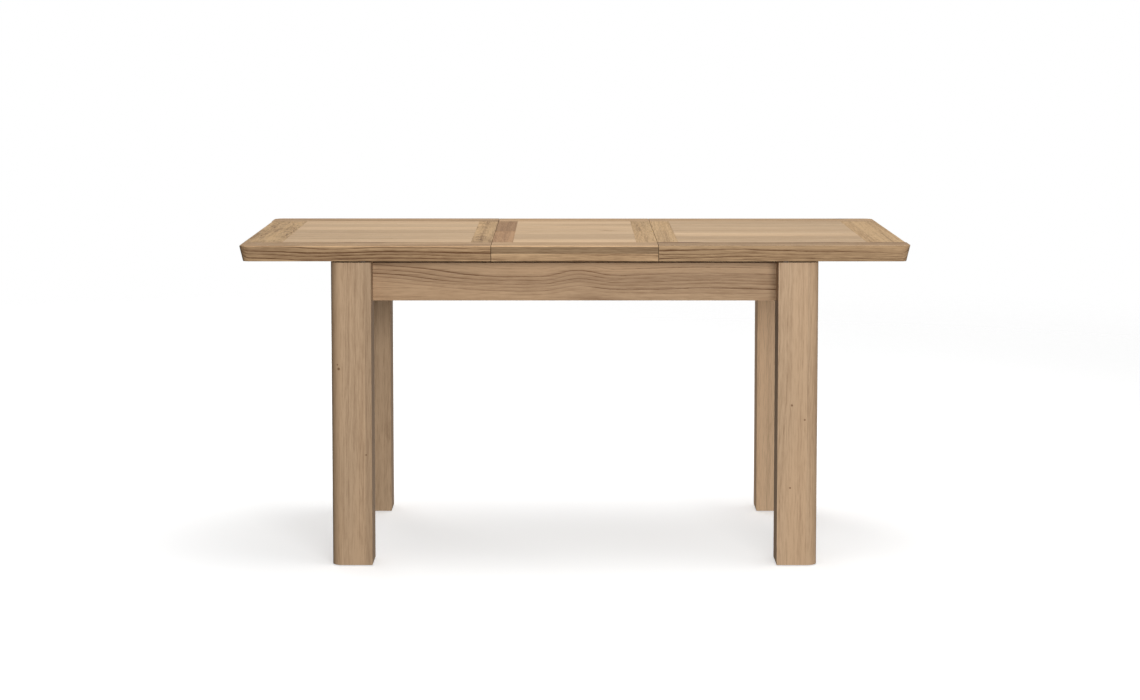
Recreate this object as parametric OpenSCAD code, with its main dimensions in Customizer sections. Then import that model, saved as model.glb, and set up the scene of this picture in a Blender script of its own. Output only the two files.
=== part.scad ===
// Extendable dining table: two end tops slide apart on a fixed frame, and a butterfly leaf
// unfolds between them. It is drawn extended, with the leaf in place.
// The origin is the centre of the footprint on the floor. +X runs along the length, +Z is
// up, and the front of the table faces -Y.

/* [Top] */
// Height of the top surface above the floor
table_height = 775; // [750:1:790]
// Depth of the table, front to back
top_depth = 800; // [790:5:860]
// Length of each sliding end top
end_top_length = 600; // [580:5:640]
// Length that the leaf adds between the end tops
leaf_length = 400; // [390:5:420]
// Thickness of the top
top_thickness = 38; // [34:1:42]
// How far the edge faces lean inward from the top down
edge_undercut = 9; // [2:1:14]
// Radius of the outer corners of the top in plan
corner_radius = 24; // [10:1:40]
// Width of the front and back rails and of the outer cross bands
rail_width = 95; // [80:1:110]
// Width of the cross bands beside each leaf joint
band_width = 50; // [45:1:60]
// Gap at each joint between the leaf and an end top
leaf_gap = 1; // [0.5:0.1:2]

/* [Frame] */
// Length of the frame over the legs
frame_length = 1166; // [1150:2:1180]
// Depth of the frame over the legs
frame_depth = 770; // [760:2:780]
// Side of the square legs
leg_size = 97; // [90:1:100]
// Radius of the outermost corner of each leg
leg_corner_radius = 25; // [5:1:40]
// Height of the aprons
apron_height = 91.5; // [88:0.5:100]
// How far the aprons' top edges lie below the tops of the legs
apron_drop = 7; // [4:0.5:8]
// Thickness of the aprons
apron_thickness = 22; // [20:1:24]
// Distance from the outer face of a leg to the face of the apron beside it
apron_setback = 67.5; // [64:0.5:69]
// Gap between the legs and the underside of the top
top_gap = 3.5; // [3:0.5:6]
// How far the foot glides hold the legs off the floor
glide_height = 2; // [1:0.5:4]

/* [Slides and leaf gear] */
// Further travel of each end top beyond the leaf's length
free_travel = 50; // [20:5:50]
// Distance of the leaf's pivot from the middle of the table
pivot_y = 100; // [95:1:110]
// Depth of the leaf's pivot below the underside of the leaf
pivot_drop = 7; // [6:0.5:8]
// Diameter of the leaf's pivot pins
pivot_pin_d = 6; // [5:0.5:6]
// Radius of the rounded edges where the two halves of the leaf meet
fold_radius = 3; // [3:0.5:4]

/* [Hidden] */
$fn = 48;

// Sides: 1 is right or back, -1 is left or front.
LEFT = -1;
RIGHT = 1;
FRONT = -1;
BACK = 1;

// Heights and places that follow from the driving sizes
under_z = table_height - top_thickness;
frame_z = under_z - top_gap;
apron_top = frame_z - apron_drop;
apron_z = apron_top - apron_height;
leg_x = frame_length / 2 - leg_size;
leg_y = frame_depth / 2 - leg_size;
apron_outer_x = frame_length / 2 - apron_setback;
apron_inner_x = apron_outer_x - apron_thickness;
apron_inner_y = frame_depth / 2 - apron_setback - apron_thickness;
joint_x = leaf_length / 2;
end_x = joint_x + end_top_length;
rail_y = top_depth / 2 - rail_width;
leaf_end_x = joint_x - leaf_gap;

// Extra size that a cutting shape takes past a face, the thickness of the flat ends that a
// hull joins, and the play round a fitted piece
past = 1;
skin = 0.01;
play = 0.1;
running_play = 0.05;

// Stub tenons of the aprons
tenon_length = 12;
tenon_thickness = 12;
tenon_height = 42;
tenon_z = apron_z + 45;
tenon_shoulder = (apron_thickness - tenon_thickness) / 2;

// Grooved runners along the front and back aprons
runner_thickness = 25;
runner_height = 40;
runner_y = apron_inner_y - runner_thickness;
runner_z = apron_top - runner_height;
groove_depth = 10.5;
groove_height = 14;
groove_z = apron_top - 15;

// Bearers under the end tops, with a tongue that runs in the groove
bearer_width = 28;
bearer_play = 2.5;
bearer_drop = 15;
bearer_x = joint_x + 15;
bearer_end_x = apron_inner_x - free_travel - 6;
tongue_height = groove_height - 1;
tongue_reach = bearer_play + groove_depth - 1;
bearer_screw_start = 50;
bearer_screw_pitch = 65;
bearer_screw_xs = [for (i = [0:2]) bearer_x + bearer_screw_start + bearer_screw_pitch * i];
bearer_screw_y = runner_y - bearer_play - bearer_width / 2;

// Cross rails that carry the leaf's pivots, notched where the bearers pass over them
plate_thickness = 3;
plate_x = joint_x + 3;
cross_rail_x = plate_x + plate_thickness;
cross_rail_thickness = 24;
cross_rail_z = apron_z + 10;
cross_rail_top = frame_z - 10;
notch_y = bearer_screw_y - bearer_width / 2 - 8;
notch_z = runner_z - 2;
notch_height = cross_rail_top - notch_z + past;

// Corner braces and the bolts that draw the legs to them
brace_gap = 30;
brace_thickness = 26;
brace_z = apron_z + 3;
brace_height = 44;
bolt_d = 8;
bolt_in_leg = 45;
bolt_z = brace_z + brace_height / 2;
washer_d = 22;
washer_hole_d = 8.6;
washer_thickness = 2;
nut_d = 15;
nut_height = 6.5;
bolt_tail = 5;
washer_end = brace_gap + brace_thickness + washer_thickness;
nut_end = washer_end + nut_height;
bolt_end = nut_end + bolt_tail;

// Foot glides, glide strips and rest pads
glide_d = 34;
glide_stem_d = 8;
glide_stem = 20;
strip_width = 12;
strip_inset = 20;
strip_x = apron_inner_x + (apron_thickness - strip_width) / 2;
strip_clearance = 0.2;
strip_height = under_z - apron_top - strip_clearance;
leg_strip_inset = 7;
leg_strip_height = top_gap - strip_clearance;
pad_size = [40, 16, strip_height];
pad_x = 120;

// Pivot of the leaf
pivot_z = under_z - pivot_drop;
plate_width = 60;
plate_low = frame_z - 42;
plate_top = under_z - 1;
bracket_thickness = 3;
bracket_width = 50;
bracket_reach = 33;
bracket_end_x = leaf_end_x - 6;
ear_width = 30;
ear_low = under_z - 18;
pivot_pin_start = bracket_end_x - 7;
pivot_pin_end = cross_rail_x + 2;

// Hinges between the halves of the leaf: a strap and a pin in each half, joined by a link.
// The pins stand in the centres of the two rounded edges, so that the edges roll past each
// other and the halves close top to top.
fold_gap = 0.25;
fold_y = fold_gap + fold_radius;
fold_z = table_height - fold_radius;
eye_radius = fold_radius - 0.4;
strap_thickness = 2.8;
strap_end = 60;
strap_neck = 14;
strap_height = 10;
strap_mid = table_height - 9;
link_thickness = 2.4;
link_x = leaf_end_x - 5.6;
link_pocket = 6.2;
hinge_pin_d = 2.5;

// Wood screws: a countersunk head and a plain shank
screw_d = 4;
screw_head_d = 8;
screw_head_height = 2.4;
runner_screw_length = 38;
plate_screw_length = 20;
bearer_screw_length = 40;
bearer_counterbore = 22;
bracket_screw_length = 24;
strap_screw_length = 14;
runner_screw_xs = [-400, -200, 0, 200, 400];
runner_screw_z = runner_z + 9;
plate_screw_ys = [pivot_y - 18, pivot_y + 18];
plate_screw_z = plate_low + 14;
bracket_screw_ys = [pivot_y - 17, pivot_y + 17];
bracket_screw_x = bracket_end_x - 20;
strap_screw_ys = [25, 50];
strap_screw_size = 0.6;

// Colours
OAK = "burlywood";
DARK_OAK = "peru";
BEECH = "wheat";
STEEL = "silver";
BRASS = "goldenrod";
NYLON = "dimgray";
FELT = "saddlebrown";

// Draws its children at the chosen corner. They are written for the right back corner.
module corner(x_side, y_side)
    mirror([x_side < 0 ? 1 : 0, 0, 0])
        mirror([0, y_side < 0 ? 1 : 0, 0])
            children();

module at_all_corners()
    for (x_side = [LEFT, RIGHT], y_side = [FRONT, BACK])
        corner(x_side, y_side) children();

module at_both_ends()
    for (x_side = [LEFT, RIGHT])
        corner(x_side, BACK) children();

// A countersunk wood screw whose head is flush at the origin. It points along +Z. With some
// extra it is the hole for the screw, which also opens the face in front of the head.
module screw(length, size = 1, extra = 0) {
    head_d = screw_head_d * size + 2 * extra;
    shank_d = screw_d * size + 2 * extra;
    cylinder(d = shank_d, h = length + extra);
    cylinder(d1 = head_d, d2 = shank_d, h = screw_head_height * size);
    if (extra > 0)
        translate([0, 0, -past])
            cylinder(d = head_d, h = past);
}

// ---- Frame ----

module leg_outline() {
    square([leg_size, leg_size - leg_corner_radius]);
    square([leg_size - leg_corner_radius, leg_size]);
    translate([leg_size - leg_corner_radius, leg_size - leg_corner_radius])
        circle(r = leg_corner_radius);
}

// Places its children on the line of a leg bolt. Local +Z points into the leg from its
// inner edge.
module on_bolt_line()
    translate([leg_x, leg_y, bolt_z])
        rotate([0, 90, 45])
            children();

// The room that both stub tenons of a corner take in its leg
module tenon_sockets() {
    width = tenon_thickness + 2 * play;
    reach = tenon_length + play + past;
    height = tenon_height + 2 * play;
    translate([leg_x - past, apron_inner_y + tenon_shoulder - play, tenon_z - play])
        cube([reach, width, height]);
    translate([apron_inner_x + tenon_shoulder - play, leg_y - past, tenon_z - play])
        cube([width, reach, height]);
}

module glide_stem_hole()
    translate([leg_x + leg_size / 2, leg_y + leg_size / 2, glide_height - past])
        cylinder(d = glide_stem_d + 2 * play, h = glide_stem + past);

module leg(x_side, y_side)
    color(OAK)
        corner(x_side, y_side)
            difference() {
                translate([leg_x, leg_y, glide_height])
                    linear_extrude(frame_z - glide_height)
                        leg_outline();
                tenon_sockets();
                glide_stem_hole();
                on_bolt_line()
                    translate([0, 0, -past - bolt_d])
                        cylinder(d = bolt_d + 2 * play, h = bolt_in_leg + bolt_d + past + play);
            }

// An apron along X with its outer face at y = 0, its inner face further on, and a stub
// tenon at each end
module apron_board(length) {
    translate([-length / 2, 0, apron_z])
        cube([length, apron_thickness, apron_height]);
    translate([-length / 2 - tenon_length, tenon_shoulder, tenon_z])
        cube([length + 2 * tenon_length, tenon_thickness, tenon_height]);
}

module runner_screws(extra = 0)
    for (x = runner_screw_xs)
        translate([x, runner_y, runner_screw_z])
            rotate([-90, 0, 0])
                screw(runner_screw_length, 1, extra);

module long_apron(y_side)
    color(OAK)
        corner(RIGHT, y_side)
            difference() {
                translate([0, apron_inner_y, 0])
                    apron_board(2 * leg_x);
                runner_screws(play);
            }

module end_apron(x_side)
    color(OAK)
        corner(x_side, BACK)
            translate([apron_outer_x, 0, 0])
                rotate(90)
                    apron_board(2 * leg_y);

module corner_brace(x_side, y_side)
    color(BEECH)
        corner(x_side, y_side)
            difference() {
                intersection() {
                    translate([leg_x, leg_y, brace_z])
                        rotate(45)
                            translate([-brace_gap - brace_thickness, -leg_x, 0])
                                cube([brace_thickness, 2 * leg_x, brace_height]);
                    translate([0, 0, brace_z - past])
                        cube([apron_inner_x, apron_inner_y, brace_height + 2 * past]);
                }
                on_bolt_line()
                    translate([0, 0, -bolt_end])
                        cylinder(d = washer_hole_d, h = bolt_end);
            }

module leg_bolts()
    color(STEEL)
        at_all_corners()
            on_bolt_line()
                translate([0, 0, -bolt_end])
                    cylinder(d = bolt_d, h = bolt_end + bolt_in_leg);

module leg_bolt_washers()
    color(STEEL)
        at_all_corners()
            on_bolt_line()
                translate([0, 0, -washer_end])
                    difference() {
                        cylinder(d = washer_d, h = washer_thickness);
                        translate([0, 0, -past])
                            cylinder(d = washer_hole_d, h = washer_thickness + 2 * past);
                    }

module leg_bolt_nuts()
    color(STEEL)
        at_all_corners()
            on_bolt_line()
                translate([0, 0, -nut_end])
                    difference() {
                        cylinder(d = nut_d, h = nut_height, $fn = 6);
                        translate([0, 0, -past])
                            cylinder(d = bolt_d + 2 * play, h = nut_height + 2 * past);
                    }

module runner(y_side)
    color(BEECH)
        corner(RIGHT, y_side)
            difference() {
                translate([-leg_x, runner_y, runner_z])
                    cube([2 * leg_x, runner_thickness, runner_height]);
                translate([-leg_x - past, runner_y - past, groove_z - groove_height / 2])
                    cube([2 * (leg_x + past), groove_depth + past, groove_height]);
                runner_screws(play);
            }

module plate_screws(extra = 0)
    for (y = plate_screw_ys)
        translate([plate_x, y, plate_screw_z])
            rotate([0, 90, 0])
                screw(plate_screw_length, 1, extra);

module cross_rail(x_side)
    color(BEECH)
        corner(x_side, BACK)
            difference() {
                translate([cross_rail_x, -apron_inner_y, cross_rail_z])
                    cube([cross_rail_thickness, 2 * apron_inner_y, cross_rail_top - cross_rail_z]);
                for (y_side = [FRONT, BACK])
                    corner(RIGHT, y_side)
                        translate([cross_rail_x - past, notch_y, notch_z])
                            cube([cross_rail_thickness + 2 * past, apron_inner_y, notch_height]);
                plate_screws(play);
            }

module pivot_plate(x_side)
    color(STEEL)
        corner(x_side, BACK)
            difference() {
                translate([plate_x, pivot_y - plate_width / 2, plate_low])
                    cube([plate_thickness, plate_width, plate_top - plate_low]);
                translate([plate_x - past, pivot_y, pivot_z])
                    rotate([0, 90, 0])
                        cylinder(d = pivot_pin_d + 2 * running_play, h = plate_thickness + 2 * past);
                plate_screws(play);
            }

// The strips that an end top glides on: one on the end apron and one on each leg
module glide_strips(x_side)
    color(NYLON)
        corner(x_side, BACK) {
            translate([strip_x, strip_inset - leg_y, apron_top])
                cube([strip_width, 2 * (leg_y - strip_inset), strip_height]);
            for (y_side = [FRONT, BACK])
                corner(RIGHT, y_side)
                    translate([strip_x, leg_y + leg_strip_inset, frame_z])
                        cube([strip_width, leg_size - 2 * leg_strip_inset, leg_strip_height]);
        }

module leaf_rest_pads()
    color(FELT)
        at_all_corners()
            translate([
                pad_x - pad_size.x / 2, runner_y + (runner_thickness - pad_size.y) / 2, apron_top
            ])
                cube(pad_size);

module foot_glides()
    color(NYLON)
        at_all_corners()
            translate([leg_x + leg_size / 2, leg_y + leg_size / 2, 0]) {
                cylinder(d = glide_d, h = glide_height);
                cylinder(d = glide_stem_d, h = glide_height + glide_stem - play);
            }

module frame_screws()
    color(STEEL) {
        for (y_side = [FRONT, BACK])
            corner(RIGHT, y_side) runner_screws();
        at_both_ends() plate_screws();
    }

// ---- End tops ----

// A rail of an end top in plan, with its inner corner at the origin and its outer end
// rounded. Its outer sides lie inset from their full size.
module rail_outline(inset = 0) {
    square([end_top_length - inset, rail_width - corner_radius]);
    square([end_top_length - corner_radius, rail_width - inset]);
    translate([end_top_length - corner_radius, rail_width - corner_radius])
        circle(r = corner_radius - inset);
}

module end_top_rail(x_side, y_side)
    color(OAK)
        corner(x_side, y_side)
            translate([joint_x, rail_y, under_z])
                hull() {
                    linear_extrude(skin) rail_outline(edge_undercut);
                    translate([0, 0, top_thickness - skin])
                        linear_extrude(skin) rail_outline();
                }

module end_top_outer_band(x_side)
    color(DARK_OAK)
        corner(x_side, BACK)
            translate([end_x, rail_y, 0])
                rotate([90, 0, 0])
                    linear_extrude(2 * rail_y)
                        polygon([
                            [-rail_width, under_z], [-edge_undercut, under_z],
                            [0, table_height], [-rail_width, table_height]
                        ]);

module end_top_inner_band(x_side)
    color(DARK_OAK)
        corner(x_side, BACK)
            translate([joint_x, -rail_y, under_z])
                cube([band_width, 2 * rail_y, top_thickness]);

// Screws that hold a bearer to its end top, with a counterbore below each head
module bearer_screws(extra = 0)
    for (x = bearer_screw_xs, y_side = [FRONT, BACK])
        corner(RIGHT, y_side)
            translate([x, bearer_screw_y, groove_z - bearer_drop + bearer_counterbore])
                screw(bearer_screw_length, 1, extra);

module end_top_panel(x_side)
    color(OAK)
        corner(x_side, BACK)
            difference() {
                translate([joint_x + band_width, -rail_y, under_z])
                    cube([end_top_length - band_width - rail_width, 2 * rail_y, top_thickness]);
                bearer_screws(play);
            }

module bearer(x_side, y_side)
    color(BEECH)
        corner(x_side, y_side)
            difference() {
                length = bearer_end_x - bearer_x;
                bottom = groove_z - bearer_drop;
                inner_y = runner_y - bearer_play - bearer_width;
                union() {
                    translate([bearer_x, inner_y, bottom])
                        cube([length, bearer_width, under_z - bottom]);
                    translate([bearer_x, inner_y + bearer_width, groove_z - tongue_height / 2])
                        cube([length, tongue_reach, tongue_height]);
                }
                bearer_screws(play);
                for (x = bearer_screw_xs)
                    translate([x, bearer_screw_y, bottom - past])
                        cylinder(d = screw_head_d + 1, h = bearer_counterbore + past);
            }

module end_top_screws(x_side)
    color(STEEL)
        corner(x_side, BACK)
            bearer_screws();

// ---- Leaf ----
// Each half is written as the back half, which lies at positive y.

// Section of a half between the fold and the rail, with the rounded edge at the fold
module half_section() {
    translate([fold_y, under_z])
        square([rail_y - fold_y, top_thickness]);
    translate([fold_gap, under_z])
        square([fold_radius, top_thickness - fold_radius]);
    translate([fold_y, fold_z])
        circle(r = fold_radius);
}

// Extrudes a section drawn in Y and Z along X, from x_start to x_end
module along_x(x_start, x_end)
    translate([x_start, 0, 0])
        rotate([90, 0, 90])
            linear_extrude(x_end - x_start)
                children();

module leaf_panel(y_side)
    color(OAK)
        corner(RIGHT, y_side)
            along_x(band_width - leaf_end_x, leaf_end_x - band_width)
                half_section();

module leaf_rail(y_side)
    color(OAK)
        corner(RIGHT, y_side)
            along_x(-leaf_end_x, leaf_end_x)
                polygon([
                    [rail_y, under_z], [top_depth / 2 - edge_undercut, under_z],
                    [top_depth / 2, table_height], [rail_y, table_height]
                ]);

// Outline of a hinge strap round the eye, grown by extra on all sides
module strap_outline(extra = 0) {
    translate([fold_y, fold_z])
        circle(r = eye_radius + extra);
    polygon([
        [fold_y, fold_z + eye_radius + extra],
        [fold_y, fold_z - eye_radius - extra],
        [strap_neck, strap_mid - strap_height / 2 - extra],
        [strap_end + extra, strap_mid - strap_height / 2 - extra],
        [strap_end + extra, strap_mid + strap_height / 2 + extra],
        [strap_neck, strap_mid + strap_height / 2 + extra]
    ]);
}

module strap_screws(extra = 0)
    for (y = strap_screw_ys)
        translate([leaf_end_x, y, strap_mid])
            rotate([0, -90, 0])
                screw(strap_screw_length, strap_screw_size, extra);

module bracket_screws(extra = 0)
    for (y = bracket_screw_ys)
        translate([bracket_screw_x, y, under_z - bracket_thickness])
            screw(bracket_screw_length, 1, extra);

// The room that the hinge takes in the end of a cross band
module hinge_pocket() {
    along_x(leaf_end_x - strap_thickness - play, leaf_end_x + past)
        strap_outline(play);
    along_x(link_x - play - running_play, leaf_end_x + past)
        translate([-past, fold_z - eye_radius - 2 * play])
            square([link_pocket + past, 2 * fold_radius]);
    strap_screws(play);
}

module leaf_band(x_side, y_side)
    color(DARK_OAK)
        corner(x_side, y_side)
            difference() {
                along_x(leaf_end_x - band_width, leaf_end_x)
                    half_section();
                hinge_pocket();
                if (y_side == BACK) bracket_screws(play);
            }

module hinge_straps(y_side)
    color(BRASS)
        for (x_side = [LEFT, RIGHT])
            corner(x_side, y_side)
                difference() {
                    along_x(leaf_end_x - strap_thickness, leaf_end_x)
                        strap_outline();
                    hinge_pin(running_play, past);
                    strap_screws(play);
                }

// A hinge pin, or with some extra the hole for it, which runs past both faces
module hinge_pin(extra = 0, run_out = 0)
    translate([link_x - run_out, fold_y, fold_z])
        rotate([0, 90, 0])
            cylinder(d = hinge_pin_d + 2 * extra, h = leaf_end_x - link_x + 2 * run_out);

module hinge_pins(y_side)
    color(STEEL)
        for (x_side = [LEFT, RIGHT])
            corner(x_side, y_side) hinge_pin();

module leaf_screws(y_side)
    color(STEEL)
        for (x_side = [LEFT, RIGHT])
            corner(x_side, y_side) {
                strap_screws();
                if (y_side == BACK) bracket_screws();
            }

module leaf_hinge_links()
    color(BRASS)
        at_both_ends()
            difference() {
                along_x(link_x, link_x + link_thickness) {
                    for (y = [-fold_y, fold_y])
                        translate([y, fold_z]) circle(r = eye_radius);
                    translate([-fold_y, fold_z - eye_radius])
                        square([2 * fold_y, 2 * eye_radius]);
                }
                for (y_side = [FRONT, BACK])
                    corner(RIGHT, y_side)
                        hinge_pin(running_play, past);
            }

module pivot_pin(extra = 0)
    translate([pivot_pin_start, pivot_y, pivot_z])
        rotate([0, 90, 0])
            cylinder(d = pivot_pin_d + 2 * extra, h = pivot_pin_end - pivot_pin_start);

module leaf_pivot_bracket(x_side)
    color(STEEL)
        corner(x_side, BACK)
            difference() {
                union() {
                    translate([
                        bracket_end_x - bracket_reach, pivot_y - bracket_width / 2,
                        under_z - bracket_thickness
                    ])
                        cube([bracket_reach, bracket_width, bracket_thickness]);
                    translate([bracket_end_x - bracket_thickness, pivot_y - ear_width / 2, ear_low])
                        cube([bracket_thickness, ear_width, under_z - ear_low]);
                }
                pivot_pin(running_play);
                bracket_screws(play);
            }

module leaf_pivot_pins()
    color(STEEL)
        at_both_ends() pivot_pin();

leg(LEFT, FRONT);  // leg_front_left
leg(RIGHT, FRONT);  // leg_front_right
leg(LEFT, BACK);  // leg_back_left
leg(RIGHT, BACK);  // leg_back_right
long_apron(FRONT);  // apron_front
long_apron(BACK);  // apron_back
end_apron(LEFT);  // apron_left
end_apron(RIGHT);  // apron_right
corner_brace(LEFT, FRONT);  // corner_brace_front_left
corner_brace(RIGHT, FRONT);  // corner_brace_front_right
corner_brace(LEFT, BACK);  // corner_brace_back_left
corner_brace(RIGHT, BACK);  // corner_brace_back_right
leg_bolts();
leg_bolt_washers();
leg_bolt_nuts();
runner(FRONT);  // runner_front
runner(BACK);  // runner_back
cross_rail(LEFT);  // cross_rail_left
cross_rail(RIGHT);  // cross_rail_right
pivot_plate(LEFT);  // pivot_plate_left
pivot_plate(RIGHT);  // pivot_plate_right
glide_strips(LEFT);  // glide_strips_left
glide_strips(RIGHT);  // glide_strips_right
leaf_rest_pads();
foot_glides();
frame_screws();

end_top_panel(LEFT);  // left_top_panel
end_top_rail(LEFT, FRONT);  // left_top_front_rail
end_top_rail(LEFT, BACK);  // left_top_back_rail
end_top_outer_band(LEFT);  // left_top_outer_band
end_top_inner_band(LEFT);  // left_top_inner_band
bearer(LEFT, FRONT);  // left_bearer_front
bearer(LEFT, BACK);  // left_bearer_back
end_top_screws(LEFT);  // left_bearer_screws

end_top_panel(RIGHT);  // right_top_panel
end_top_rail(RIGHT, FRONT);  // right_top_front_rail
end_top_rail(RIGHT, BACK);  // right_top_back_rail
end_top_outer_band(RIGHT);  // right_top_outer_band
end_top_inner_band(RIGHT);  // right_top_inner_band
bearer(RIGHT, FRONT);  // right_bearer_front
bearer(RIGHT, BACK);  // right_bearer_back
end_top_screws(RIGHT);  // right_bearer_screws

leaf_panel(BACK);  // leaf_back_panel
leaf_rail(BACK);  // leaf_back_rail
leaf_band(LEFT, BACK);  // leaf_back_left_band
leaf_band(RIGHT, BACK);  // leaf_back_right_band
hinge_straps(BACK);  // leaf_back_hinge_straps
hinge_pins(BACK);  // leaf_back_hinge_pins
leaf_screws(BACK);  // leaf_back_screws
leaf_pivot_bracket(LEFT);  // leaf_pivot_bracket_left
leaf_pivot_bracket(RIGHT);  // leaf_pivot_bracket_right
leaf_pivot_pins();
leaf_hinge_links();

leaf_panel(FRONT);  // leaf_front_panel
leaf_rail(FRONT);  // leaf_front_rail
leaf_band(LEFT, FRONT);  // leaf_front_left_band
leaf_band(RIGHT, FRONT);  // leaf_front_right_band
hinge_straps(FRONT);  // leaf_front_hinge_straps
hinge_pins(FRONT);  // leaf_front_hinge_pins
leaf_screws(FRONT);  // leaf_front_screws
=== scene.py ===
"""Looks, lights and camera for the extendable dining table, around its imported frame.

Every piece keeps the shape the CAD gives it, with its edges eased. The wood that shows gets
its own cut of oak for each piece, and the hidden wood shares two cuts of beech. The grain is a
solid pattern of growth rings in the piece's rest coordinates, so it runs through from face to
end grain and stays with the piece when it moves.
"""

import math

import bpy
from mathutils import Matrix, Vector


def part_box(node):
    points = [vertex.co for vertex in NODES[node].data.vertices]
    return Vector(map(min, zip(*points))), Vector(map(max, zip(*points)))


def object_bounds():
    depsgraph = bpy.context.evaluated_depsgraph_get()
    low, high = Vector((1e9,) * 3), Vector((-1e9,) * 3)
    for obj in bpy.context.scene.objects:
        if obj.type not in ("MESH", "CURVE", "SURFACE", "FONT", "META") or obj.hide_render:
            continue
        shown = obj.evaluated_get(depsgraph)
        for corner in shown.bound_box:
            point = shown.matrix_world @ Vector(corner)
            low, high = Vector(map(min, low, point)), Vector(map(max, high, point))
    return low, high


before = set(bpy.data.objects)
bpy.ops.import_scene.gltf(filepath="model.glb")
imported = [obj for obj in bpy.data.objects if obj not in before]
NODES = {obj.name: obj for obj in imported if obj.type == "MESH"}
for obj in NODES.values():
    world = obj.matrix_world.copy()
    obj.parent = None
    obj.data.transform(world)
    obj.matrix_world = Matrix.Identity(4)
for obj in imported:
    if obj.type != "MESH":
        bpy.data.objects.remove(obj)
CAD_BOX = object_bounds()
HALF_LENGTH, HALF_DEPTH, TOP_Z = CAD_BOX[1]
# How far the rounded outer edge of the top reaches in, and how much paler its painted highlight
# makes it
ARRIS_WIDTH = 0.0036
HIGHLIGHT_GAIN = 1.3

# ---- Node trees ----

# The range of values in which most noise lies
MOST_NOISE = (0.3, 0.7)


class Graph:
    """The node tree of a material or a world, with a call for each kind of node it uses."""

    def __init__(self, owner):
        owner.use_nodes = True
        self.owner = owner
        self.tree = owner.node_tree
        self.tree.nodes.clear()

    def node(self, kind, inputs, **settings):
        made = self.tree.nodes.new("ShaderNode" + kind)
        for setting, value in settings.items():
            setattr(made, setting, value)
        for socket, value in inputs.items():
            self.feed(made.inputs[socket], value)
        return made

    def feed(self, socket, value):
        if isinstance(value, bpy.types.NodeSocket):
            self.tree.links.new(value, socket)
        else:
            socket.default_value = value

    def rest_place(self):
        """The point in the rest pose, in metres."""
        return self.node("TexCoord", {}).outputs["Object"]

    def parts(self, vector):
        return self.node("SeparateXYZ", {0: vector}).outputs

    def math(self, operation, *values):
        inputs = dict(enumerate(values))
        return self.node("Math", inputs, operation=operation).outputs[0]

    def add(self, first, second):
        return self.math("ADD", first, second)

    def times(self, first, second):
        return self.math("MULTIPLY", first, second)

    def vector(self, x, y, z):
        return self.node("CombineXYZ", {0: x, 1: y, 2: z}).outputs[0]

    def length(self, vector):
        return self.node("VectorMath", {0: vector}, operation="LENGTH").outputs["Value"]

    def stretched(self, vector, scale):
        inputs = {0: vector, 1: scale}
        return self.node("VectorMath", inputs, operation="MULTIPLY").outputs[0]

    def noise(self, vector, scale, detail=2.0, roughness=0.5):
        """Noise from 0 to 1. scale says how many features there are to a metre on each axis."""
        place = self.stretched(vector, scale)
        inputs = {"Vector": place, "Scale": 1.0, "Detail": detail, "Roughness": roughness}
        return self.node("TexNoise", inputs).outputs[0]

    def noise_1d(self, value):
        inputs = {"W": value, "Scale": 1.0, "Detail": 1.0}
        return self.node("TexNoise", inputs, noise_dimensions="1D").outputs[0]

    def chances(self, value):
        """Three random numbers from 0 to 1 that belong to a whole number."""
        made = self.node("TexWhiteNoise", {"W": value}, noise_dimensions="1D")
        return self.node("SeparateColor", {0: made.outputs["Color"]}).outputs

    def spread(self, value, low, high, to_low=0.0, to_high=1.0, smooth=True):
        inputs = {"Value": value, "From Min": low, "From Max": high}
        inputs.update({"To Min": to_low, "To Max": to_high})
        kind = "SMOOTHSTEP" if smooth else "LINEAR"
        return self.node("MapRange", inputs, interpolation_type=kind).outputs[0]

    def between(self, value, low, high):
        """A value from 0 to 1 turned evenly into one from low to high."""
        return self.spread(value, 0.0, 1.0, low, high, False)

    def vary(self, noise, low, high, smooth=False):
        """Noise stretched to reach from low to high, and held between them."""
        return self.spread(noise, *MOST_NOISE, low, high, smooth)

    def beyond(self, value, limit):
        """1 where a value is further from 0 than the limit, on either side, or else 0."""
        return self.math("GREATER_THAN", self.math("ABSOLUTE", value), limit)

    def ramp(self, factor, stops):
        """A curve through (place, value) stops, as a grey level."""
        made = self.node("ValToRGB", {0: factor})
        elements = made.color_ramp.elements
        while len(elements) < len(stops):
            elements.new(0.5)
        for element, (place, level) in zip(elements, stops):
            element.position = place
            element.color = (level, level, level, 1.0)
        return made.outputs[0]

    def mix(self, factor, first, second, blend="MIX"):
        made = self.node("Mix", {0: factor}, data_type="RGBA", blend_type=blend)
        self.feed(made.inputs[6], first)
        self.feed(made.inputs[7], second)
        return made.outputs[2]

    def toned(self, color, level):
        """The colour made lighter or darker by a grey level."""
        return self.mix(1.0, color, self.vector(level, level, level), "MULTIPLY")

    def bump(self, height, distance, strength=1.0):
        inputs = {"Height": height, "Distance": distance, "Strength": strength}
        return self.node("Bump", inputs).outputs[0]

    def finish(self, **sockets):
        """Closes the tree with a principled shader whose named sockets are given."""
        shader = self.node("BsdfPrincipled", {})
        for socket, value in sockets.items():
            self.feed(shader.inputs[socket.replace("_", " ")], value)
        output = self.node("OutputMaterial", {})
        self.tree.links.new(shader.outputs[0], output.inputs[0])
        return self.owner


def material_graph(name):
    return Graph(bpy.data.materials.new(name))


def rgb(red, green, blue):
    """A colour given as it looks on screen, 0 to 255, as linear RGBA."""
    levels = [level / 255 for level in (red, green, blue)]
    return tuple(
        level / 12.92 if level <= 0.04045 else ((level + 0.055) / 1.055) ** 2.4
        for level in levels
    ) + (1.0,)


# ---- Wood ----

# For each grain direction: the axis along the grain, then the two axes across it
GRAIN_AXES = {"X": (0, 1, 2), "Y": (1, 0, 2), "Z": (2, 0, 1)}

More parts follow.
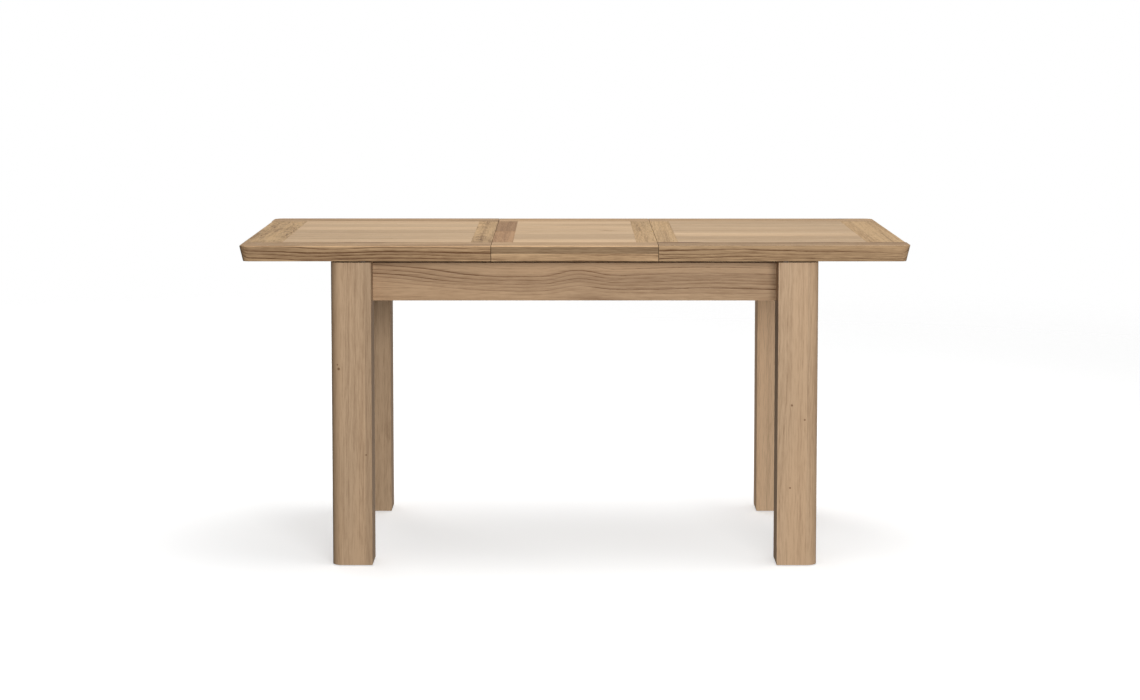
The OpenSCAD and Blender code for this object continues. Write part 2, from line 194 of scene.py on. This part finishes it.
# A growth ring from its start to its end: dark open pores first, then dense pale wood
RING_PROFILE = (
    (0.0, 0.3),
    (0.05, 1.0),
    (0.17, 0.85),
    (0.3, 0.36),
    (0.6, 0.12),
    (0.95, 0.0),
    (1.0, 0.3),
)
# Rings are wide and narrow in turn: waves to a ring, and how many rings they shift it by
WIDTH_WAVES, WIDTH_SHIFT = 0.31, 1.7
# Years of lean and rich growth follow each other too, this many waves to a ring
LEAN_WAVES = 0.17
# How dark the palest and the darkest ring are, as shares of the usual
VIGOUR = (0.25, 1.15)
# How far a knot pushes the rings out
KNOT_SWELL = 0.02

# Features to a metre along the grain and across it
RING_STRENGTH_SCALE = (1.3, 26.0)
FIBRE_SCALE = (24.0, 430.0)
STREAK_SCALE = (1.2, 95.0)
PORE_SCALE = (75.0, 1400.0)
MOTTLE_SCALE = (2.2, 9.0)
WARMTH_SCALE = (1.4, 16.0)

# How much darker each layer makes the wood, where it is palest and where it is darkest
LEAN_SPAN = (-0.14, 0.2)
STREAK_SPAN = (-0.2, 0.3)
FIBRE_SPAN = (-0.26, 0.34)
PORE_DARKNESS = 0.35
KNOT_DARKNESS = 1.6
# Broad patches of the wood are lighter and darker, and others are redder
MOTTLE_SPAN = (0.93, 1.07)
BLUSH = (1.01, 0.97, 0.93, 1.0)
# End grain drinks more of the finish and is darker
END_GRAIN = 0.72

# Height of rings, fibres and pores in the surface, as shares of the relief's depth
RING_RELIEF, FIBRE_RELIEF, PORE_RELIEF = -0.4, 0.45, -0.7
RELIEF_DEPTH, RELIEF_STRENGTH = 0.0003, 0.9
# From the smoothest to the roughest fibres, and what pores add
ROUGHNESS, PORE_ROUGHNESS = (0.46, 0.6), 0.15
SHEEN = 0.2

# Each stave is moved along and across the grain by chance, so that none repeats its
# neighbour, and its tone is lighter or darker by up to this share
STAVE_RUN, STAVE_SHIFT, STAVE_TONE = 3.7, 0.25, 0.13
# How far the patterns of two pieces are apart when their seeds differ by one
CHANCE_STEP, SIDE_STEP = 7.31, 1.7


class Cut:
    """How a piece was cut from its tree and how plainly its grain shows.

    These are the usual values, and a piece changes some of them.
    """

    # Where the middle of the tree lies from the piece's centre, in the two axes across the grain
    heart = (0.03, -0.3)
    # The width of a ring, and how much darker its pores are
    ring, contrast = 0.0065, 0.75
    # How far the rings wander, and how often to a metre along the grain and across it
    warp, warp_scale = 0.006, (1.6, 9.0)
    # How fast the rings run out along the piece
    taper = 0.012
    # Where the rings are pushed aside: the middle, the reach and the rise of each bend
    bends = ()
    # The centre and the radius of each knot
    knots = ()
    # Where staves meet, on the first or the second of the axes across the grain
    seams, seam_axis = (), 0
    # The tone of each stave from the low side up. Without a list they come by chance.
    stave_tones = ()
    # The tone of the whole piece, and how much its streaks and fibres show
    tone, streaks, fibres = 1.0, 1.0, 1.0
    # Whether its outer upper edge gets a painted highlight
    painted_highlight = False

    def __init__(self, **changes):
        for name, value in changes.items():
            setattr(self, name, value)


class Spot:
    """Where a point lies in its piece: along the grain, across it, and in which stave."""

    def __init__(self, graph, grain, centre, seed, cut):
        self.place = graph.parts(graph.rest_place())
        self.along_axis, side_axis, deep_axis = GRAIN_AXES[grain]
        self.along = self.place[self.along_axis]
        side, deep = self.place[side_axis], self.place[deep_axis]
        self.stave = stave_number(graph, (side, deep)[cut.seam_axis], cut.seams)
        self.chance = graph.chances(graph.add(self.stave, seed * CHANCE_STEP))
        reach = STAVE_RUN if cut.seams else 0.0
        self.run = graph.add(self.along, graph.times(self.chance[0], reach))
        moved = graph.between(self.chance[1], -STAVE_SHIFT, STAVE_SHIFT) if cut.seams else 0.0
        shifted = graph.add(side, seed * SIDE_STEP)
        self.vector = graph.vector(self.run, shifted, graph.add(deep, moved))
        to_heart = graph.math("SUBTRACT", side, centre[side_axis] + cut.heart[0])
        self.side_off = graph.add(to_heart, moved)
        self.deep_off = graph.math("SUBTRACT", deep, centre[deep_axis] + cut.heart[1])


def stave_number(graph, across, seams):
    """0 on the low side of all the seams, and one more past each of them."""
    number = graph.times(across, 0.0)
    for seam in seams:
        number = graph.add(number, graph.math("GREATER_THAN", across, seam))
    return number


def listed_tone(graph, stave, tones):
    """The tone given for each stave, from the low side up."""
    tone = graph.add(graph.times(stave, 0.0), tones[0])
    for i in range(1, len(tones)):
        step = graph.math("GREATER_THAN", stave, i - 0.5)
        tone = graph.add(tone, graph.times(step, tones[i] - tones[i - 1]))
    return tone


def painted_arris_highlight(graph, place, upward):
    """A painted highlight: paler wood on the upturned part of the rounded outer edge of the top,
    where it catches the light.
    """
    turned_up = graph.spread(upward, 0.05, 0.35)
    not_level = graph.spread(upward, 0.85, 0.998, 1.0, 0.0)
    at_end = graph.beyond(place[0], HALF_LENGTH - ARRIS_WIDTH)
    at_side = graph.beyond(place[1], HALF_DEPTH - ARRIS_WIDTH)
    outside = graph.math("MAXIMUM", at_end, at_side)
    rounded = graph.times(turned_up, not_level)
    return graph.between(graph.times(rounded, outside), 1.0, HIGHLIGHT_GAIN)


def knot_pull(graph, place, knots):
    """How close a point is to a knot: 1 in its heart, 0 some way off."""
    pull = graph.times(place[0], 0.0)
    for centre, radius in knots:
        offset = graph.vector(*(graph.math("SUBTRACT", place[i], centre[i]) for i in range(3)))
        closeness = graph.spread(graph.length(offset), 0.0, radius, 1.0, 0.0)
        pull = graph.math("MAXIMUM", pull, closeness)
    return pull


def bent(graph, along, bends):
    """How far the tree's heart is pushed aside at a place along the piece."""
    push = graph.times(along, 0.0)
    for middle, reach, rise in bends:
        away = graph.math("ABSOLUTE", graph.math("SUBTRACT", along, middle))
        push = graph.add(push, graph.spread(away, 0.0, reach, rise, 0.0))
    return push


def grain_noise(graph, spot, scale, detail=2.0, roughness=0.5):
    """Noise drawn out along the grain. scale counts its features to a metre, along and across."""
    along, across = scale
    return graph.noise(spot.vector, (along, across, across), detail, roughness)


def count_years(graph, spot, pull, cut):
    """How many rings lie between the middle of the tree and a point."""
    push = bent(graph, spot.along, cut.bends)
    lifted = graph.math("SUBTRACT", spot.deep_off, push)
    radius = graph.length(graph.vector(spot.side_off, lifted, 0.0))
    radius = graph.add(radius, graph.times(spot.run, cut.taper))
    wander = graph.between(grain_noise(graph, spot, cut.warp_scale), -2 * cut.warp, 2 * cut.warp)
    radius = graph.add(graph.add(radius, wander), graph.times(pull, KNOT_SWELL))
    years = graph.math("DIVIDE", radius, cut.ring)
    wave = graph.noise_1d(graph.times(years, WIDTH_WAVES))
    return graph.add(years, graph.times(wave, WIDTH_SHIFT))


def ring_pattern(graph, spot, years):
    """How dark the rings are, which differs from ring to ring and along each of them."""
    early = graph.ramp(graph.math("FRACT", years), RING_PROFILE)
    strength = grain_noise(graph, spot, RING_STRENGTH_SCALE)
    strength = graph.spread(strength, 0.34, 0.66, 0.3, 1.0)
    vigour = graph.between(graph.chances(graph.math("FLOOR", years))[0], *VIGOUR)
    return graph.times(graph.times(early, strength), vigour)


def open_pores(graph, spot, rings):
    """Short dark pores, thickest in the dark part of the rings."""
    pore = graph.spread(grain_noise(graph, spot, PORE_SCALE, 1.0), 0.56, 0.7)
    return graph.times(pore, graph.spread(rings, 0.15, 0.75, 0.2, 1.0))


class Figure:
    """What the wood shows at a point: knots, rings, streaks, fibres and pores."""

    def __init__(self, graph, spot, seed, cut):
        self.pull = knot_pull(graph, spot.place, cut.knots)
        years = count_years(graph, spot, self.pull, cut)
        self.rings = ring_pattern(graph, spot, years)
        self.lean = graph.noise_1d(graph.add(graph.times(years, LEAN_WAVES), seed))
        self.streak = grain_noise(graph, spot, STREAK_SCALE, 4.0, 0.6)
        self.fibre = grain_noise(graph, spot, FIBRE_SCALE, 3.0, 0.65)
        self.pore = open_pores(graph, spot, self.rings)


def wood_darkness(graph, figure, cut):
    """All layers of the figure together: 0 or less is the palest wood, 1 or more the darkest."""
    layers = (
        (figure.lean, LEAN_SPAN, cut.contrast),
        (figure.streak, STREAK_SPAN, cut.streaks),
        (figure.fibre, FIBRE_SPAN, cut.fibres),
    )
    darkness = graph.times(figure.rings, cut.contrast)
    for noise, (low, high), strength in layers:
        darkness = graph.add(darkness, graph.vary(noise, low * strength, high * strength))
    darkness = graph.add(darkness, graph.times(figure.pore, PORE_DARKNESS))
    knot = graph.spread(figure.pull, 0.5, 0.9, 0.0, KNOT_DARKNESS)
    return graph.math("MAXIMUM", darkness, knot)


def wood_color(graph, spot, darkness, pale, dark):
    """From pale to dark wood, with redder patches."""
    color = graph.mix(graph.between(darkness, 0.0, 1.0), pale, dark)
    warmth = grain_noise(graph, spot, WARMTH_SCALE)
    blushed = graph.mix(1.0, color, BLUSH, "MULTIPLY")
    return graph.mix(graph.spread(warmth, 0.35, 0.7, 0.0, 0.5), color, blushed)


def wood_level(graph, spot, cut):
    """How light the piece is at a point: its own tone, its stave's, end grain and the painted
    highlight on the arris.
    """
    mottle = grain_noise(graph, spot, MOTTLE_SCALE, 3.0)
    low, high = MOTTLE_SPAN
    level = graph.spread(mottle, 0.25, 0.75, cut.tone * low, cut.tone * high, False)
    if cut.stave_tones:
        level = graph.times(level, listed_tone(graph, spot.stave, cut.stave_tones))
    elif cut.seams:
        level = graph.times(level, graph.between(spot.chance[2], 1 - STAVE_TONE, 1 + STAVE_TONE))
    facing = graph.parts(graph.node("TexCoord", {}).outputs["Normal"])
    cut_across = graph.math("ABSOLUTE", facing[spot.along_axis])
    level = graph.times(level, graph.spread(cut_across, 0.6, 0.95, 1.0, END_GRAIN))
    # Painted highlight: the upturned part of the outer arris is made paler
    if cut.painted_highlight:
        level = graph.times(level, painted_arris_highlight(graph, spot.place, facing[2]))
    return level


def wood_relief(graph, figure):
    relief = graph.times(figure.rings, RING_RELIEF)
    relief = graph.add(relief, graph.times(figure.fibre, FIBRE_RELIEF))
    return graph.add(relief, graph.times(figure.pore, PORE_RELIEF))


def wood(name, grain, centre, seed, colors, cut):
    """One board, or several staves glued side by side. colors are its palest and its darkest."""
    graph = material_graph(name)
    spot = Spot(graph, grain, centre, seed, cut)
    figure = Figure(graph, spot, seed, cut)
    color = wood_color(graph, spot, wood_darkness(graph, figure, cut), *colors)
    rough = graph.spread(figure.fibre, 0.2, 0.8, *ROUGHNESS)
    return graph.finish(
        Base_Color=graph.toned(color, wood_level(graph, spot, cut)),
        Roughness=graph.add(rough, graph.times(figure.pore, PORE_ROUGHNESS)),
        Normal=graph.bump(wood_relief(graph, figure), RELIEF_DEPTH, RELIEF_STRENGTH),
        Specular_IOR_Level=SHEEN,
    )


# ---- Metal, nylon and felt ----


def metal(name, color, roughness, cloud_scale):
    """Plated or polished metal with fine brushing and a cloudy tone."""
    graph = material_graph(name)
    place = graph.rest_place()
    cloud = graph.noise(place, (cloud_scale,) * 3, 4.0, 0.6)
    brushed = graph.noise(place, (900.0, 60.0, 900.0))
    tone = graph.vary(cloud, 0.82, 1.06, True)
    return graph.finish(
        Base_Color=graph.toned(color, tone),
        Metallic=1.0,
        Roughness=graph.vary(cloud, roughness - 0.08, roughness + 0.1, True),
        Normal=graph.bump(brushed, 0.00003, 0.5),
    )


def plastic(name, color):
    """Moulded plastic with a fine grit."""
    graph = material_graph(name)
    place = graph.rest_place()
    grit = graph.noise(place, (1400.0,) * 3)
    cloud = graph.noise(place, (60.0,) * 3)
    tone = graph.vary(cloud, 0.85, 1.12, True)
    return graph.finish(
        Base_Color=graph.toned(color, tone),
        Roughness=graph.vary(grit, 0.42, 0.6, True),
        Normal=graph.bump(grit, 0.00004, 0.6),
    )


def felt(name, color):
    graph = material_graph(name)
    hairs = graph.noise(graph.rest_place(), (900.0, 1300.0, 900.0), 4.0, 0.7)
    tone = graph.vary(hairs, 0.7, 1.25, True)
    return graph.finish(
        Base_Color=graph.toned(color, tone),
        Roughness=0.95,
        Normal=graph.bump(hairs, 0.0003, 0.8),
    )


# ---- Edges ----

NEAR = 0.0001
# Outer corners of the top are rounded, and everything beyond this depth belongs to them
CORNER_RADIUS = 0.024
CORNER_DEPTH = HALF_DEPTH - CORNER_RADIUS - 2 * NEAR
# How far edges of wood are eased: those of the top and the aprons, of the legs, of hidden wood
EDGE, LEG_EDGE, HIDDEN_EDGE = 0.0006, 0.0012, 0.001


def on_top_edge(point):
    """Whether a corner of a piece lies on the outer upper edge of the table top."""
    outside = abs(point.y) > CORNER_DEPTH or abs(point.x) > HALF_LENGTH - NEAR
    return point.z > TOP_Z - NEAR and outside


def add_modifier(piece, kind, **settings):
    modifier = piece.modifiers.new(kind.title(), kind)
    for setting, value in settings.items():
        setattr(modifier, setting, value)


def merge_faces(piece):
    """Joins the imported triangles back into whole faces, so that edges can be eased."""
    add_modifier(piece, "WELD", merge_threshold=0.00002)
    add_modifier(piece, "DECIMATE", decimate_type="DISSOLVE", angle_limit=math.radians(1.0))


def round_arris(piece):
    """Rounds the piece's share of the outer upper edge of the top, and no other edge."""
    group = piece.vertex_groups.new(name="arris")
    chosen = [vertex.index for vertex in piece.data.vertices if on_top_edge(vertex.co)]
    group.add(chosen, 1.0, "REPLACE")
    add_modifier(
        piece,
        "BEVEL",
        width=ARRIS_WIDTH,
        segments=4,
        limit_method="VGROUP",
        vertex_group="arris",
        use_clamp_overlap=True,
    )


def ease_edges(piece, width):
    add_modifier(
        piece,
        "BEVEL",
        width=width,
        segments=2,
        limit_method="ANGLE",
        angle_limit=math.radians(32.0),
        miter_outer="MITER_ARC",
        use_clamp_overlap=True,
    )


def smooth_faces(piece):
    add_modifier(piece, "WEIGHTED_NORMAL", weight=80, keep_sharp=False)


# ---- The table ----

FIELD = rgb(203, 174, 139), rgb(152, 121, 88)
LEG = rgb(192, 162, 130), rgb(138, 108, 80)
APRON = rgb(182, 151, 118), rgb(112, 81, 54)
RAIL = rgb(191, 159, 122), rgb(106, 74, 48)
BAND = rgb(198, 165, 122), rgb(108, 76, 47)
RED_BAND = rgb(180, 141, 103), rgb(104, 68, 42)
BEECH = rgb(200, 170, 132), rgb(165, 130, 92)

# How many staves are glued side by side in a field panel
END_TOP_STAVES, LEAF_STAVES = 7, 4
# Where the two staves of each front leg meet
LEFT_LEG_SEAM, RIGHT_LEG_SEAM = -0.5014, 0.5567
# Knots in the front faces of the front legs: how far along the table, how high, and their size
LEG_SETBACK = 0.015
LEG_FACE = -HALF_DEPTH + LEG_SETBACK
LEFT_LEG_KNOTS = ((-0.5645, 0.478, 0.009), (-0.568, 0.488, 0.007), (-0.5, 0.27, 0.005))
RIGHT_LEG_KNOTS = ((0.52, 0.39, 0.007), (0.551, 0.355, 0.006), (0.517, 0.19, 0.006))
BAND_KNOT = (0.226, -0.02, TOP_Z), 0.012
# Where the grain of the front apron is pushed aside: near its middle and toward both ends
FRONT_BENDS = ((0.01, 0.09, 0.012), (-0.5, 0.34, 0.022), (0.28, 0.2, 0.004))
# Depths below the top's face where the layers of the leaf's rails meet
LAYER_DEPTHS = (0.019, 0.003)


def dress(node, material, edge, outer=False):
    """Gives a CAD node its material, with its edges eased and its outer arris rounded."""
    piece = NODES[node]
    piece.data.materials.clear()
    piece.data.materials.append(material)
    merge_faces(piece)
    if outer:
        round_arris(piece)
    if edge:
        ease_edges(piece, edge)
    smooth_faces(piece)


def board(node, grain, seed, colors, edge=EDGE, outer=False, **changes):
    """A piece of oak. An outer one is part of the rim of the top."""
    low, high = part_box(node)
    centre = [(a + b) / 2 for a, b in zip(low, high)]
    # An outer piece gets a painted highlight on its rounded arris
    cut = Cut(painted_highlight=outer, **changes)
    dress(node, wood("oak_" + node, grain, centre, seed, colors, cut), edge, outer)


def field_panel(node, seed, count):
    """Straight-grained staves, glued side by side."""
    low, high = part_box(node)
    seams = [low[1] + (high[1] - low[1]) * i / count for i in range(1, count)]
    board(node, "X", seed, FIELD, seams=seams, heart=(0.1, -0.2), contrast=0.4)


def leg_knots(knots):
    return [((x, LEG_FACE, z), radius) for x, z, radius in knots]


def dress_legs():
    straight = {
        "heart": (0.05, -0.25),
        "ring": 0.006,
        "contrast": 0.32,
        "warp_scale": (1.5, 9.0),
        "edge": LEG_EDGE,
    }
    left = {"tone": 0.93, "seams": [LEFT_LEG_SEAM], "stave_tones": (1.02, 0.88)}
    right = {"tone": 1.0, "seams": [RIGHT_LEG_SEAM], "stave_tones": (1.03, 0.97)}
    board("leg_front_left", "Z", 3.0, LEG, knots=leg_knots(LEFT_LEG_KNOTS), **left, **straight)
    board("leg_front_right", "Z", 4.0, LEG, knots=leg_knots(RIGHT_LEG_KNOTS), **right, **straight)
    board("leg_back_left", "Z", 5.0, LEG, tone=0.95, **straight)
    # The back right leg's wood is painted 1.6 times as light as the others' to stand in for light
    # it lacks in the shade here; from behind it looks lighter than its neighbours
    board("leg_back_right", "Z", 6.0, LEG, tone=1.6, **straight)


def dress_aprons():
    calm = {"ring": 0.0058, "contrast": 0.95, "streaks": 0.55, "fibres": 0.7, "tone": 1.09}
    front = {"heart": (0.05, -0.055), "bends": FRONT_BENDS, "taper": 0.004}
    board("apron_front", "X", 11.0, APRON, **front, **calm)
    board("apron_back", "X", 12.0, APRON, heart=(-0.05, -0.07), **calm)
    board("apron_left", "Y", 13.0, APRON, heart=(0.05, -0.1), **calm)
    board("apron_right", "Y", 14.0, APRON, heart=(-0.05, -0.1), **calm)


def dress_end_top(side, seed, rail, outer_band, inner_band):
    field_panel(side + "_top_panel", seed, END_TOP_STAVES)
    for i, place in enumerate(("front", "back")):
        board(f"{side}_top_{place}_rail", "X", seed + 1 + i, RAIL, outer=True, **rail)
    board(side + "_top_outer_band", "Y", seed + 3, BAND, outer=True, **outer_band)
    board(side + "_top_inner_band", "Y", seed + 4, BAND, **inner_band)


def dress_end_tops():
    """The left top's cross bands have a lively swirling grain, the right top's a plain one."""
    rail = {
        "heart": (0.04, -0.06),
        "ring": 0.007,
        "contrast": 0.95,
        "warp": 0.008,
        "warp_scale": (2.0, 12.0),
        "streaks": 1.2,
    }
    swirl = {
        "heart": (0.0, -0.06),
        "ring": 0.0045,
        "contrast": 1.1,
        "warp": 0.02,
        "warp_scale": (5.0, 9.0),
        "taper": 0.09,
    }
    plain = {"heart": (0.15, -0.2), "ring": 0.006, "contrast": 0.45}
    dress_end_top("left", 21.0, rail, swirl, swirl)
    dress_end_top("right", 31.0, rail, plain, {"knots": [BAND_KNOT], **plain})


def dress_leaf():
    """Two halves alike, but for the colours of their cross bands."""
    # The edge is laid up of two layers, the upper one darker, and the face above is pale again
    layers = [TOP_Z - depth for depth in LAYER_DEPTHS]
    rail = {"seams": layers, "seam_axis": 1, "stave_tones": (1.14, 0.7, 1.08)}
    rail.update({"heart": (0.03, -0.1), "ring": 0.0062, "taper": 0.004})
    band = {"heart": (0.06, -0.1), "ring": 0.0055, "contrast": 0.55, "warp": 0.015}
    band_looks = {
        ("front", "left"): (RED_BAND, 1.02),
        ("back", "left"): (RED_BAND, 0.8),
        ("front", "right"): (BAND, 1.06),
        ("back", "right"): (BAND, 0.93),
    }
    for i, half in enumerate(("front", "back")):
        field_panel(f"leaf_{half}_panel", 51.0 + i, LEAF_STAVES)
        board(f"leaf_{half}_rail", "X", 53.0 + i, RAIL, outer=True, **rail)
        for j, side in enumerate(("left", "right")):
            colors, tone = band_looks[half, side]
            board(f"leaf_{half}_{side}_band", "Y", 55.0 + 2 * i + j, colors, tone=tone, **band)


def dress_hidden_wood():
    """Runners and bearers share one cut of beech, braces and cross rails another."""
    plain = Cut(ring=0.004, contrast=0.3, streaks=0.5)
    origin = (0.0, 0.0, 0.0)
    beech = wood("beech_along_x", "X", origin, 71.0, BEECH, plain)
    cross_beech = wood("beech_along_y", "Y", origin, 72.0, BEECH, plain)
    for node in NODES:
        if node.startswith("runner_") or node.endswith(("bearer_front", "bearer_back")):
            dress(node, beech, HIDDEN_EDGE)
        if node.startswith(("corner_brace_", "cross_rail_")):
            dress(node, cross_beech, HIDDEN_EDGE)


def dress_hardware():
    steel = metal("zinc_steel", rgb(190, 191, 193), 0.36, 220.0)
    brass = metal("brass", rgb(205, 170, 98), 0.34, 260.0)
    nylon = plastic("nylon", rgb(58, 56, 54))
    brown_felt = felt("felt", rgb(96, 68, 46))
    for node in NODES:
        if node.endswith(("screws", "bolts", "washers", "nuts", "pins")):
            dress(node, steel, edge=0.0)
        if node.startswith(("pivot_plate_", "leaf_pivot_bracket_")):
            dress(node, steel, edge=0.0004)
        if node.endswith(("hinge_straps", "hinge_links")):
            dress(node, brass, edge=0.0002)
        if node.startswith(("glide_strips_", "foot_glides")):
            dress(node, nylon, edge=0.0004)
        if node == "leaf_rest_pads":
            dress(node, brown_felt, edge=0.0005)


# ---- Studio ----

WHITE = (1.0, 1.0, 1.0, 1.0)

CAMERA_PLACE = (-0.0166, -6.506, 1.339)
CAMERA_PITCH = 0.0883
CAMERA_LENS = 81.55
CAMERA_SHIFT = (0.002, -0.1)

FLOOR_REACH = 9.0
# The floor is whole up to the first distance from the table's middle and gone at the second
FLOOR_FADE = (1.8, 6.0)
# Keeps the floor nearly white where the lights fall off
FLOOR_GLOW = 0.42
PAPER = (0.88, 0.88, 0.88, 1.0), (0.9, 0.9, 0.895, 1.0)

# Soft light from all round: its level low down and overhead, what is added toward the
# table's right and back, and the least that comes from anywhere
SKY_LOW, SKY_HIGH = 0.2, 0.45
SKY_RIGHT, SKY_BACK = 0.16, -0.02
SKY_LEAST = 0.05


def add_floor():
    """A pale floor that fades into the white background round it."""
    mesh = bpy.data.meshes.new("floor")
    signs = ((-1, -1), (1, -1), (1, 1), (-1, 1))
    corners = [(x * FLOOR_REACH, y * FLOOR_REACH, 0) for x, y in signs]
    mesh.from_pydata(corners, [], [(0, 1, 2, 3)])
    floor = bpy.data.objects.new("floor", mesh)
    bpy.context.scene.collection.objects.link(floor)
    graph = material_graph("floor_paper")
    place = graph.rest_place()
    cloud = graph.vary(graph.noise(place, (0.8, 0.8, 0.8)), 0.0, 1.0, True)
    paper = graph.finish(
        Base_Color=graph.mix(cloud, *PAPER),
        Roughness=0.9,
        Specular_IOR_Level=0.1,
        Alpha=graph.spread(graph.length(place), *FLOOR_FADE, 1.0, 0.0),
        Emission_Color=WHITE,
        Emission_Strength=FLOOR_GLOW,
    )
    mesh.materials.append(paper)
    floor.visible_diffuse = False
    floor.visible_glossy = False


def add_world():
    """White behind the table, and soft light that is strongest from above and the right."""
    world = bpy.data.worlds.new("studio")
    bpy.context.scene.world = world
    graph = Graph(world)
    direction = graph.parts(graph.node("TexCoord", {}).outputs["Generated"])
    level = graph.spread(direction[2], -0.15, 0.5, SKY_LOW, SKY_HIGH)
    level = graph.add(level, graph.times(direction[0], SKY_RIGHT))
    level = graph.add(level, graph.times(direction[1], SKY_BACK))
    level = graph.math("MAXIMUM", level, SKY_LEAST)
    seen = graph.node("LightPath", {}).outputs["Is Camera Ray"]
    color = graph.mix(seen, graph.vector(level, level, level), WHITE)
    background = graph.node("Background", {"Color": color, "Strength": 1.0})
    output = graph.node("OutputWorld", {})
    graph.tree.links.new(background.outputs[0], output.inputs[0])


def add_area_light(name, place, target, size, power, glossy=True):
    data = bpy.data.lights.new(name, "AREA")
    data.shape = "RECTANGLE"
    data.size, data.size_y = size
    data.energy = power
    light = bpy.data.objects.new(name, data)
    toward = Vector(target) - Vector(place)
    turn = toward.to_track_quat("-Z", "Y").to_matrix().to_4x4()
    light.matrix_world = Matrix.Translation(place) @ turn
    light.visible_camera = False
    light.visible_glossy = glossy
    bpy.context.scene.collection.objects.link(light)


def add_lights():
    """One light over the table, one behind the camera, and one that fills the back."""
    overhead = {"target": (0.0, 0.0, 0.7), "size": (2.6, 2.0), "power": 46.0}
    front = {"target": (0.0, 0.0, 0.45), "size": (2.4, 1.6), "power": 178.0}
    rear = {"target": (0.0, 0.0, 0.4), "size": (2.4, 1.8), "power": 60.0, "glossy": False}
    add_area_light("overhead", (0.3, 0.2, 3.3), **overhead)
    add_area_light("front", (0.8, -5.4, 1.45), **front)
    add_area_light("rear", (-2.6, 4.8, 1.8), **rear)


def add_camera():
    data = bpy.data.cameras.new("camera")
    data.lens = CAMERA_LENS
    data.sensor_width = 36.0
    data.shift_x, data.shift_y = CAMERA_SHIFT
    data.clip_end = 200.0
    camera = bpy.data.objects.new("camera", data)
    turn = Matrix.Rotation(math.pi / 2 - CAMERA_PITCH, 4, "X")
    camera.matrix_world = Matrix.Translation(CAMERA_PLACE) @ turn
    bpy.context.scene.collection.objects.link(camera)
    bpy.context.scene.camera = camera


dress_legs()
dress_aprons()
dress_end_tops()
dress_leaf()
dress_hidden_wood()
dress_hardware()
add_floor()
add_world()
add_lights()
add_camera()
bpy.context.scene.view_settings.view_transform = "Standard"
bpy.context.scene.view_settings.look = "None"
